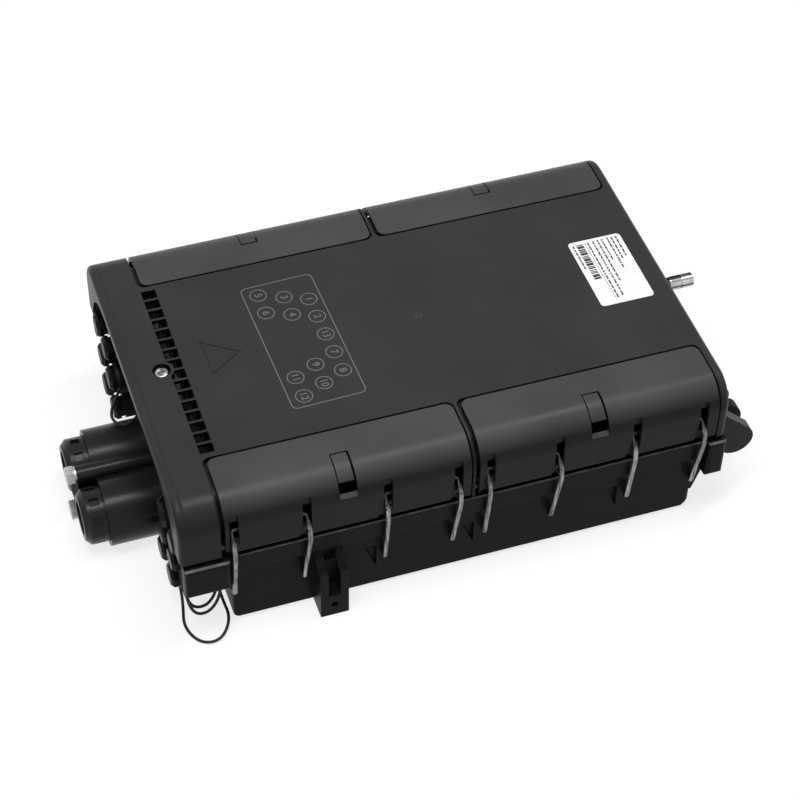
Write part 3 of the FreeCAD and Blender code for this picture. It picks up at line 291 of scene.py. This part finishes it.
def cover_hollows(n):
    """Mask of the vents and of what is under the flaps, which get painted shade."""
    span_x, (low, high), span_z = BAY_BOX
    bays = n.math("ADD", n.in_box(BAY_BOX), n.in_box((span_x, (-high, -low), span_z)))
    return n.math("MAXIMUM", n.in_box(VENT_BOX), n.math("MULTIPLY", bays, BAY_SHADE))


def wall_top(n):
    """1 on the port wall's top, under the vents, which gets painted shade."""
    return n.in_box(WALL_BOX)


def gate_ring(n):
    """1 on the ring around the mould's gate."""
    off = [n.math("SUBTRACT", n.place(axis), at) for axis, at in zip("XY", GATE_AT)]
    square = n.math("ADD", *(n.math("MULTIPLY", side, side) for side in off))
    inner = n.math("GREATER_THAN", square, GATE_R[0] ** 2)
    return n.math("MULTIPLY", inner, n.math("LESS_THAN", square, GATE_R[1] ** 2))


SLOT_SHADE_HEIGHTS = (88.0, 92.0)           # heights over which the bails get painted shade, up in the flaps' slots
SLOT_SHADE_COVER = 0.85
METAL_ROUND = 0.25            # radius of the rounds on metal edges


def steel(name, dark, pale, rough, streak=(1, 1, 1), density=400, pits=0.06, band=(0.38, 0.6),
          slot_shade=None):
    """Bare metal: drawn streaks from dark to pale, cloudy tone, small pits, painted shade over
    a span of heights.
    """
    n = Nodes(name)
    n.set(Metallic=1.0)
    cloud = n.noise(scale=70, detail=4)
    lines = n.noise(density, stretch=streak, roughness=0.6)
    colour = n.mix(n.spread(lines, 0, 1, *band), grey(dark), grey(pale))
    colour = n.mix(n.spread(cloud, low=0, high=0.5), colour, grey(dark))
    # Painted shade on the bails where they run up into the flaps' slots.
    if slot_shade:
        colour = n.mix(n.spread(n.place("Z"), 0, SLOT_SHADE_COVER, *slot_shade), colour, grey(dark / 2))
    n.out(colour, "Base Color")
    drawn = n.spread(lines, low=rough - 0.08, high=rough + 0.1)
    n.out(n.math("ADD", drawn, n.spread(cloud, low=0, high=0.08)), "Roughness")
    normal, _ = n.rounded(METAL_ROUND * MM)
    n.out(n.bump(lines, distance=0.1 * MM, strength=pits, normal=normal), "Normal")
    return n.mat


def rubber(name, dark, pale, rough):
    """Cord sheath and seals: matt, with dusty cloud and fine grain."""
    n = Nodes(name)
    n.set(Specular_IOR_Level=0.2)
    cloud = n.noise(scale=90, detail=4)
    n.out(n.mix(n.spread(cloud, 0, 1), grey(dark), grey(pale)), "Base Color")
    n.out(n.spread(cloud, low=rough - 0.07, high=rough + 0.08), "Roughness")
    grain = n.noise(scale=2500, detail=2)
    n.out(n.bump(grain, distance=0.05 * MM, strength=0.2), "Normal")
    return n.mat


def film(name, colour, grime):
    """Printed film: faint fibre and a little grime."""
    n = Nodes(name)
    stain = n.spread(n.noise(scale=45, detail=5), low=0, high=0.35, start=0.5, end=0.75)
    n.out(n.mix(stain, colour, grime), "Base Color")
    n.out(n.spread(n.noise(scale=300), low=0.38, high=0.52), "Roughness")
    fibre = n.noise(scale=1500, detail=2)
    n.out(n.bump(fibre, distance=0.03 * MM, strength=0.15), "Normal")
    return n.mat


MATERIALS = {
    "cover": moulded("cover_plastic", tone=0.03, rough=0.38, spec=0.12, tone_on_shaded_sides=0.5,
                     painted_shade_mask=cover_hollows, hood=True),
    "flap": moulded("flap_plastic", tone=0.06, rough=0.34, spec=0.11, edge=1.0, rounding=0.9,
                    tone_on_shaded_sides=0.2, shaded_seams=True),
    "base": moulded("base_plastic", tone=0.0085, rough=0.42, spec=0.065, edge=1.0, rounding=0.9,
                    line=HIGHLIT_EDGE_HEIGHTS, painted_shade_mask=wall_top),
    "cap": moulded("cap_plastic", tone=0.007, rough=0.36, spec=0.08, grain=0.03, rounding=0.4),
    "gland": moulded("gland_plastic", tone=0.009, rough=0.28, spec=0.18, grain=0.03,
                     rounding=0.4),
    "seal": rubber("seal_rubber", dark=0.006, pale=0.012, rough=0.6),
    "cord": rubber("cord_rubber", dark=0.012, pale=0.026, rough=0.45),
    "wire": steel("wire_steel", dark=0.06, pale=0.42, rough=0.3, streak=(1, 1, 0.02),
                  density=700, slot_shade=SLOT_SHADE_HEIGHTS),
    "zinc": steel("zinc_steel", dark=0.25, pale=0.62, rough=0.3, streak=(0.2, 1, 1),
                  density=500, pits=0.05, band=(0.25, 0.75)),
    "pin": steel("pin_steel", dark=0.03, pale=0.07, rough=0.4),
    # The valve's dark and pale lengthwise bands are drawn streaks and partly a painted
    # reflection.
    "nickel": steel("nickel_plate", dark=0.02, pale=0.75, rough=0.2, streak=(0.01, 1, 1),
                    density=300, pits=0.05, band=(0.47, 0.6)),
    "screw": steel("screw_steel", dark=0.12, pale=0.66, rough=0.28, density=200, pits=0.08),
    "sticker": film("sticker_film", colour=grey(0.93), grime=(0.84, 0.83, 0.8)),
    "ink": film("sticker_ink", colour=grey(0.015), grime=grey(0.03)),
    "print": film("map_print", colour=grey(0.15), grime=grey(0.11)),
    "tray": moulded("tray_plastic", tone=0.42, rough=0.3, spec=0.4),
}

# Each look, with how the names of its CAD nodes start
LOOKS = {
    "base": ("base_shell",),
    "cover": ("cover_shell",),
    "flap": ("latch_flap",),
    "cap": ("dust_cap", "port_adapters"),
    "gland": ("gland_collar", "gland_plate"),
    "seal": ("gland_plugs", "gland_seal", "cover_gasket"),
    "cord": ("lanyard",),
    "wire": ("latch_bails",),
    "zinc": ("gland_bolts", "gland_washers"),
    "screw": ("cover_screw",),
    "pin": ("hinge_rod", "latch_rod"),
    "nickel": ("valve",),
    "sticker": ("label_sticker",),
    "tray": ("splice_tray", "splitter", "cable_clamp"),
}


def dress(obj, look):
    obj.data.materials.clear()
    obj.data.materials.append(MATERIALS[look])


def dress_cad():
    for name, obj in nodes.items():
        dress(obj, next(look for look, starts in LOOKS.items() if name.startswith(starts)))


# Lanyards: the points of each route, from the port's neck to the cap's ring
CORD_D = 2.2
CORD_ROUTES = {
    8: [(-178.5, -96.0, 18.1), (-178.2, -98.5, 10.5), (-177.5, -112.0, 6.0),
        (-176.8, -130.5, 7.5), (-187.0, -143.5, 2.6), (-201.5, -141.0, 1.6),
        (-209.0, -124.0, 1.6), (-205.0, -107.0, 2.2), (-203.5, -98.0, 8.0),
        (-204.2, -96.0, 16.0)],
    10: [(-178.5, -102.5, 42.5), (-178.6, -106.5, 37.0), (-180.5, -114.5, 26.0),
         (-189.0, -118.5, 12.5), (-200.5, -118.0, 12.5), (-204.5, -114.0, 25.0),
         (-204.6, -106.5, 35.0), (-204.2, -102.5, 40.7)],
    12: [(-178.5, -109.0, 67.5), (-178.5, -113.0, 61.0), (-179.0, -120.0, 49.0),
         (-181.0, -124.0, 34.0), (-184.5, -124.6, 21.0), (-191.0, -124.5, 12.5),
         (-199.0, -123.8, 12.0), (-203.5, -122.3, 21.0), (-205.0, -120.5, 34.0),
         (-205.3, -118.0, 47.0), (-204.6, -113.0, 58.5), (-204.2, -109.0, 65.7)],
    9: [(-178.5, -68.6, 52.0), (-179.0, -60.0, 52.0), (-184.0, -46.0, 49.0),
        (-196.0, -39.5, 48.0), (-205.5, -46.5, 49.0), (-205.0, -57.5, 51.5),
        (-204.2, -66.8, 52.0)],
    4: [(-178.5, 68.6, 52.0), (-180.5, 60.5, 52.5), (-188.0, 48.0, 51.5),
        (-198.0, 36.5, 50.8), (-206.0, 29.0, 51.2), (-214.0, 30.5, 51.0),
        (-217.5, 39.5, 50.0), (-215.0, 49.0, 50.0), (-209.0, 58.0, 51.0),
        (-204.2, 66.2, 52.0)],
}
CORD_ROUND = 4                # bevel resolution, which gives 12 sides
CORD_SMOOTH = 10              # steps between two points of the route


def add_lanyards():
    for number, route in CORD_ROUTES.items():
        data = bpy.data.curves.new("lanyard_%02d_cord" % number, "CURVE")
        data.dimensions = "3D"
        data.bevel_depth = CORD_D / 2 * MM
        data.bevel_resolution = CORD_ROUND
        data.resolution_u = CORD_SMOOTH
        data.use_fill_caps = True
        spline = data.splines.new("NURBS")
        spline.points.add(len(route) - 1)
        for point, place in zip(spline.points, route):
            point.co = (*(Vector(place) * MM), 1)
        spline.order_u = 3
        spline.use_endpoint_u = True
        obj = new_object("lanyard_%02d_cord" % number, data)
        dress(obj, "cord")
        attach(obj, HOUSING)
        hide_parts("lanyard_%02d" % number)


# Port map printed on the cover
TOP = 127.0
LIFT = 0.06                   # of all print, above its surface
MAP_AT = (-83.5, 1.4)
MAP_TURN = -1.5               # degrees
MAP_HALF = (26.6, 62.0)
MAP_CORNER = 4.0
MAP_LINE = 0.65
MAP_RING = 5.9
MAP_ROWS = [(-15.8, 33.6), (1.3, 26.1), (17.6, 18.7)]    # X of a row, Y of its inner marks
MAP_STEP = 18.7               # from an inner mark to the outer one
MAP_DIGIT = 7.6
CORNER_STEPS = 8
RING_STEPS = 36


def flat_mesh(name, bm, z, look):
    """Piece of print from flat faces, which all look up."""
    bmesh.ops.recalc_face_normals(bm, faces=bm.faces)
    for face in bm.faces:
        if face.normal.z < 0:
            face.normal_flip()
    mesh = bpy.data.meshes.new(name)
    bmesh.ops.scale(bm, vec=(MM, MM, MM), verts=bm.verts)
    bmesh.ops.translate(bm, vec=(0, 0, z * MM), verts=bm.verts)
    bm.to_mesh(mesh)
    bm.free()
    obj = new_object(name, mesh)
    dress(obj, look)
    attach(obj, HOUSING)


def on_map(points):
    """Points of the map, turned and moved to their place on the cover."""
    turn = math.radians(MAP_TURN)
    c, s = math.cos(turn), math.sin(turn)
    return [(MAP_AT[0] + x * c + y * s, MAP_AT[1] + y * c - x * s) for x, y in points]


def add_outline(name, points):
    """Printed line of the map round a closed run of points."""
    bm = bmesh.new()
    run = [Vector(p) for p in on_map(points)]
    count = len(run)
    pairs = []
    for i, p in enumerate(run):
        along = (run[(i + 1) % count] - run[i - 1]).normalized()
        side = Vector((-along.y, along.x)) * MAP_LINE / 2
        pairs.append([bm.verts.new((*(p + s), 0)) for s in (side, -side)])
    for i, a in enumerate(pairs):
        b = pairs[(i + 1) % count]
        bm.faces.new((a[0], b[0], b[1], a[1]))
    flat_mesh(name, bm, TOP + LIFT, "print")


def arc(x, y, radius, start, turn, steps):
    """Points round a middle, from a start angle through a turn, both in degrees."""
    angles = [math.radians(start + turn * i / steps) for i in range(steps + 1)]
    return [(x + radius * math.cos(t), y + radius * math.sin(t)) for t in angles]


def map_frame():
    """Points of the map's frame, a rectangle with round corners."""
    x, y = (half - MAP_CORNER for half in MAP_HALF)
    corners = ((x, y, 0), (-x, y, 90), (-x, -y, 180), (x, -y, 270))
    return [p for at_x, at_y, start in corners
            for p in arc(at_x, at_y, MAP_CORNER, start, 90, CORNER_STEPS)]


def port_marks():
    """Number to its place on the map, from the map's middle.

    Ports 1 to 6 are on the far half, two to a row, 7 to 12 on the near half, 13 between.
    """
    places = {13: (MAP_ROWS[2][0], 0.0)}
    for row, (x, inner) in zip((2, 1, 0), MAP_ROWS):
        places[2 * row + 1] = (x, inner + MAP_STEP)
        places[2 * row + 2] = (x, inner)
        places[2 * row + 7] = (x, -inner)
        places[2 * row + 8] = (x, -inner - MAP_STEP)
    return places


def add_digit(number, x, y):
    """Number of a port, as a mesh, in the middle of its ring."""
    text = bpy.data.curves.new("digit", "FONT")
    text.body = str(number)
    text.size = MAP_DIGIT * MM
    text.align_x = "CENTER"
    text.align_y = "CENTER"
    holder = new_object("digit", text)
    holder.rotation_euler = (0, 0, -math.pi / 2 - math.radians(MAP_TURN))
    at_x, at_y = on_map([(x, y)])[0]
    holder.location = (at_x * MM, at_y * MM, (TOP + LIFT) * MM)
    bpy.context.view_layer.update()
    filled = holder.evaluated_get(bpy.context.evaluated_depsgraph_get())
    mesh = bpy.data.meshes.new_from_object(filled)
    mesh.transform(holder.matrix_world)
    bpy.data.objects.remove(holder)
    obj = new_object("port_digit_%02d" % number, mesh)
    dress(obj, "print")
    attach(obj, HOUSING)


def add_map():
    add_outline("port_map_frame", map_frame())
    for number, (x, y) in port_marks().items():
        circle = arc(x, y, MAP_RING, 0, 360, RING_STEPS)[:-1]
        add_outline("port_ring_%02d" % number, circle)
        add_digit(number, x, y)


# Print on the sticker, plain bars: X of a line, and where it starts and ends along Y
STICKER_TOP = 126.9
CODE_X = (136.5, 141.8)
CODE_Y = (-4.0, 34.5)
LINES = [(134.1, 33.5, 8.3), (145.9, 34.3, -24.5), (150.0, 34.5, -22.2), (153.7, 34.9, -9.8),
         (157.1, 34.9, 16.0), (161.5, 35.3, 1.7), (164.7, 34.9, 12.7), (168.1, 35.1, 12.5)]
RULE = (143.8, 34.5, -27.5)
LINE_WIDTH = 1.15
RULE_WIDTH = 0.3
BAR_WIDTHS = (0.9, 1.4, 2.0, 2.6)
GAP_WIDTHS = (0.5, 0.8, 1.1)
RUN_LENGTH = (1.5, 5.0)       # of one bar in a line, from and to
RUN_GAP = (0.6, 1.1)
SEED = 7


def add_bars():
    rng = random.Random(SEED)
    bm = bmesh.new()

    def bar(x0, x1, y0, y1):
        corners = ((x0, y0), (x1, y0), (x1, y1), (x0, y1))
        bm.faces.new([bm.verts.new((x, y, 0)) for x, y in corners])

    y = CODE_Y[0]
    while y < CODE_Y[1]:
        width = rng.choice(BAR_WIDTHS)
        bar(*CODE_X, y, y + width)
        y += width + rng.choice(GAP_WIDTHS)
    for x, start, end in LINES:
        y = start
        while y > end:
            run = rng.uniform(*RUN_LENGTH)
            bar(x - LINE_WIDTH / 2, x + LINE_WIDTH / 2, y - run, y)
            y -= run + rng.uniform(*RUN_GAP)
    x, start, end = RULE
    bar(x - RULE_WIDTH / 2, x + RULE_WIDTH / 2, end, start)
    flat_mesh("sticker_bars", bm, STICKER_TOP + LIFT, "ink")


# Studio, metres and watts
FLOOR_SIZE = 6.0
FLOOR_DROP = 0.0004           # keeps the floor off the plane of the underside
FLOOR_TONE = 0.3
FLOOR_GLOW = 0.76
FLOOR_FADE = (0.5, 1.8)       # from the middle, where the floor pales to white
WORLD_LEVEL = 0.2
MIRROR_RAYS = ("Is Glossy Ray", "Is Transmission Ray")    # they see what the camera sees
LAMPS = {
    "key": dict(at=(0.12, -0.2, 2.0), aim=(0, 0, 0.1), size=(1.9, 0.35), power=28),
    "top": dict(at=(-0.9, -0.4, 1.5), aim=(0, 0, 0.05), size=(1.2, 1.4), power=8),
}


def add_floor():
    """Pale floor that keeps the shadow, and turns white further out."""
    bm = bmesh.new()
    bmesh.ops.create_grid(bm, x_segments=1, y_segments=1, size=FLOOR_SIZE / 2)
    mesh = bpy.data.meshes.new("floor")
    bm.to_mesh(mesh)
    bm.free()
    floor = new_object("floor", mesh)
    floor.location = (0, 0, -FLOOR_DROP)
    n = Nodes("floor_white")
    n.set(Base_Color=(*grey(FLOOR_TONE), 1), Roughness=0.9, Specular_IOR_Level=0.1,
          Emission_Color=WHITE)
    rays = n.add("ShaderNodeLightPath").outputs
    seen = rays["Is Camera Ray"]
    for name in MIRROR_RAYS:
        seen = n.math("ADD", seen, rays[name])
    away = n.add("ShaderNodeVectorMath", operation="LENGTH")
    n.link(n.coords, away.inputs[0])
    glow = n.spread(away.outputs["Value"], FLOOR_GLOW, 1.0, *FLOOR_FADE)
    n.out(n.math("MULTIPLY", n.math("MINIMUM", seen, 1.0), glow), "Emission Strength")
    mesh.materials.append(n.mat)


def add_world():
    """White where it is seen or mirrored, and otherwise a low, even light."""
    world = bpy.data.worlds.new("studio")
    bpy.context.scene.world = world
    world.use_nodes = True
    tree = world.node_tree
    shade = tree.nodes["Background"]
    shade.inputs["Color"].default_value = WHITE
    rays = tree.nodes.new("ShaderNodeLightPath").outputs
    seen = rays["Is Camera Ray"]
    for name in MIRROR_RAYS:
        either = tree.nodes.new("ShaderNodeMath")
        either.operation = "ADD"
        either.use_clamp = True
        tree.links.new(seen, either.inputs[0])
        tree.links.new(rays[name], either.inputs[1])
        seen = either.outputs[0]
    level = tree.nodes.new("ShaderNodeMapRange")
    level.inputs["To Min"].default_value = WORLD_LEVEL
    level.inputs["To Max"].default_value = 1.0
    tree.links.new(seen, level.inputs["Value"])
    tree.links.new(level.outputs["Result"], shade.inputs["Strength"])


def add_light(name, at, aim, size, power):
    data = bpy.data.lights.new(name, "AREA")
    data.shape = "RECTANGLE"
    data.size, data.size_y = size
    data.energy = power
    lamp = new_object(name, data)
    lamp.location = at
    lamp.rotation_euler = (Vector(aim) - Vector(at)).to_track_quat("-Z", "Y").to_euler()


add_camera()
add_lanyards()
dress_cad()
add_map()
add_bars()
add_floor()
add_world()
for lamp_name, settings in LAMPS.items():
    add_light(lamp_name, **settings)
bpy.context.scene.view_settings.view_transform = "Standard"
